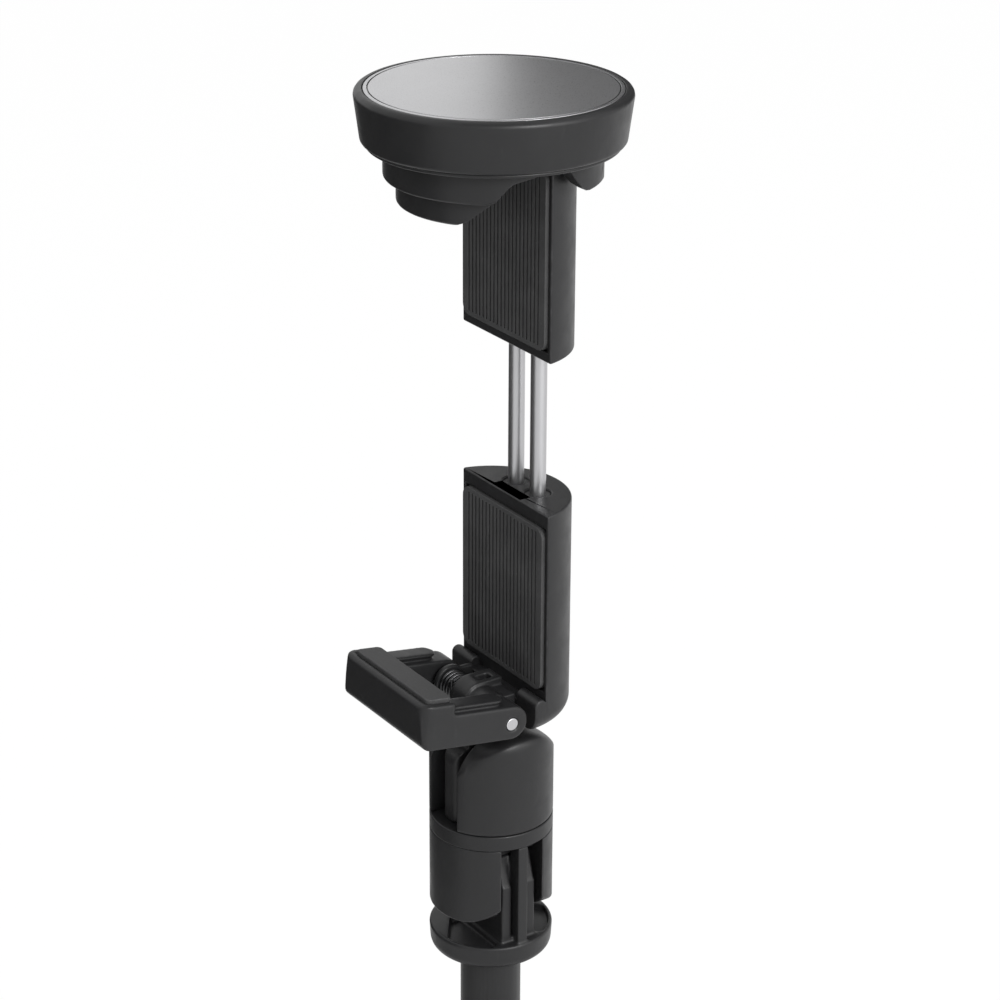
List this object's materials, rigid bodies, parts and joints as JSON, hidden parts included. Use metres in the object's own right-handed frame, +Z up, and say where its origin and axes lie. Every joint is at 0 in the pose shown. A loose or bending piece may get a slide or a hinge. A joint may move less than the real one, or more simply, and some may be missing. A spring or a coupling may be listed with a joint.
{
  "type": "selfie stick tripod",
  "caption": "Selfie stick tripod: magnetic disc and sliding phone clamp on a folding neck, telescopic pole, grip with docked remote, folding legs.",
  "frame": {"origin": "on the floor, under the centre of the bounding box", "axes": "+Z up along the pole to the disc's face; -Y is the front, where the clamp's pads face; X across the clamp"},
  "size_m": [0.2246, 0.199, 0.4728],
  "materials": {
    "black_plastic": "satin, fine texture",
    "black_rubber": "matt, ribbed",
    "disc_metal": "fine brushed, grey",
    "rod_steel": "satin",
    "screw_steel": "blackened",
    "magnet_metal": "nickel plated",
    "tube_metal": "black anodised, satin",
    "inner_plastic": "plain",
    "board_green": "solder mask"
  },
  "bodies": {
    "base": {"grip_front": "black_plastic", "grip_back": "black_plastic", "grip_ring": "black_plastic", "grip_screws": "screw_steel", "leg_hub": "black_plastic", "hub_cap": "black_plastic", "leg_pins": "screw_steel", "tube_4": "tube_metal"},
    "pole_3": {"tube_3": "tube_metal", "sleeve_3": "inner_plastic"},
    "pole_2": {"tube_2": "tube_metal", "sleeve_2": "inner_plastic"},
    "pole_1": {"tube_1": "tube_metal", "sleeve_1": "inner_plastic", "neck_post": "black_plastic"},
    "neck": {"lower_yoke": "black_plastic", "swivel_band": "black_plastic", "swivel_bolt": "screw_steel", "neck_pin": "screw_steel", "neck_washers": "screw_steel"},
    "head": {"upper_yoke": "black_plastic", "tilt_pin": "screw_steel", "tilt_washers": "screw_steel"},
    "lower_clamp": {"hinge_block": "black_plastic", "hinge_screws": "screw_steel", "lower_clamp_shell": "black_plastic", "lower_clamp_plate": "inner_plastic", "lower_pad": "black_rubber", "rod_bushes": "inner_plastic", "rod_brake": "black_rubber", "foot_spring": "rod_steel"},
    "foot": {"foot_arm": "black_plastic", "foot_arm_pad": "black_rubber", "foot_pin": "rod_steel"},
    "upper_clamp": {"upper_clamp_shell": "black_plastic", "upper_clamp_plate": "inner_plastic", "upper_pad": "black_rubber", "guide_rods": "rod_steel", "rod_stops": "screw_steel"},
    "disc": {"face_plate": "disc_metal", "rim": "black_plastic", "magnet_carrier": "inner_plastic", "magnets": "magnet_metal", "shunt_ring": "magnet_metal", "disc_back": "black_plastic", "disc_screws": "screw_steel", "disc_hinge_pin": "screw_steel", "disc_washers": "screw_steel"},
    "remote": {"remote_base": "black_plastic", "remote_lid": "black_plastic", "remote_board": "board_green", "remote_cell": "magnet_metal"},
    "button": {"remote_button": "black_rubber"},
    "leg_1": {"leg_1": "black_plastic", "foot_1": "black_rubber"},
    "leg_2": {"leg_2": "black_plastic", "foot_2": "black_rubber"},
    "leg_3": {"leg_3": "black_plastic", "foot_3": "black_rubber"}
  },
  "joints": [
    {"name": "pole_slide_3", "type": "slide", "parent": "base", "child": "pole_3", "axis": [0, 0, 1], "range_m": [0, 0.119]},
    {"name": "pole_slide_2", "type": "slide", "parent": "pole_3", "child": "pole_2", "axis": [0, 0, 1], "range_m": [0, 0.118]},
    {"name": "pole_slide_1", "type": "slide", "parent": "pole_2", "child": "pole_1", "axis": [0, 0, 1], "range_m": [-0.028, 0.088]},
    {"name": "neck_tilt", "type": "hinge", "parent": "pole_1", "child": "neck", "pos_m": [0, -0.02632, 0.29047], "axis": [0, 1, 0], "range_deg": [-60, 0]},
    {"name": "head_pan", "type": "hinge", "parent": "neck", "child": "head", "pos_m": [0, -0.02632, 0.30487], "axis": [0, 0, 1], "continuous": true},
    {"name": "head_tilt", "type": "hinge", "parent": "head", "child": "lower_clamp", "pos_m": [0, -0.02632, 0.31427], "axis": [1, 0, 0], "range_deg": [-90, 0]},
    {"name": "foot_fold", "type": "hinge", "parent": "lower_clamp", "child": "foot", "pos_m": [0, -0.03187, 0.33487], "axis": [1, 0, 0], "range_deg": [-76, 0], "stiffness_Nm_per_rad": 0.03, "springref_deg": 28.65},
    {"name": "clamp_slide", "type": "slide", "parent": "lower_clamp", "child": "upper_clamp", "axis": [0, 0, 1], "range_m": [-0.034, 0]},
    {"name": "disc_tilt", "type": "hinge", "parent": "upper_clamp", "child": "disc", "pos_m": [0, -0.01232, 0.45777], "axis": [1, 0, 0], "range_deg": [-90, 0]},
    {"name": "remote_slide", "type": "slide", "parent": "base", "child": "remote", "axis": [0, -1, 0], "range_m": [0, 0.012]},
    {"name": "button_press", "type": "slide", "parent": "remote", "child": "button", "axis": [0, 1, 0], "range_m": [0, 0.0005], "stiffness_N_per_m": 800},
    {"name": "leg_fold_1", "type": "hinge", "parent": "base", "child": "leg_1", "pos_m": [0, -0.01482, 0.09637], "axis": [-1, 0, 0], "range_deg": [0, 50]},
    {"name": "leg_fold_2", "type": "hinge", "parent": "base", "child": "leg_2", "pos_m": [-0.00996, -0.03207, 0.09637], "axis": [0.5, -0.866, 0], "range_deg": [0, 50]},
    {"name": "leg_fold_3", "type": "hinge", "parent": "base", "child": "leg_3", "pos_m": [0.00996, -0.03207, 0.09637], "axis": [0.5, 0.866, 0], "range_deg": [0, 50]}
  ]
}
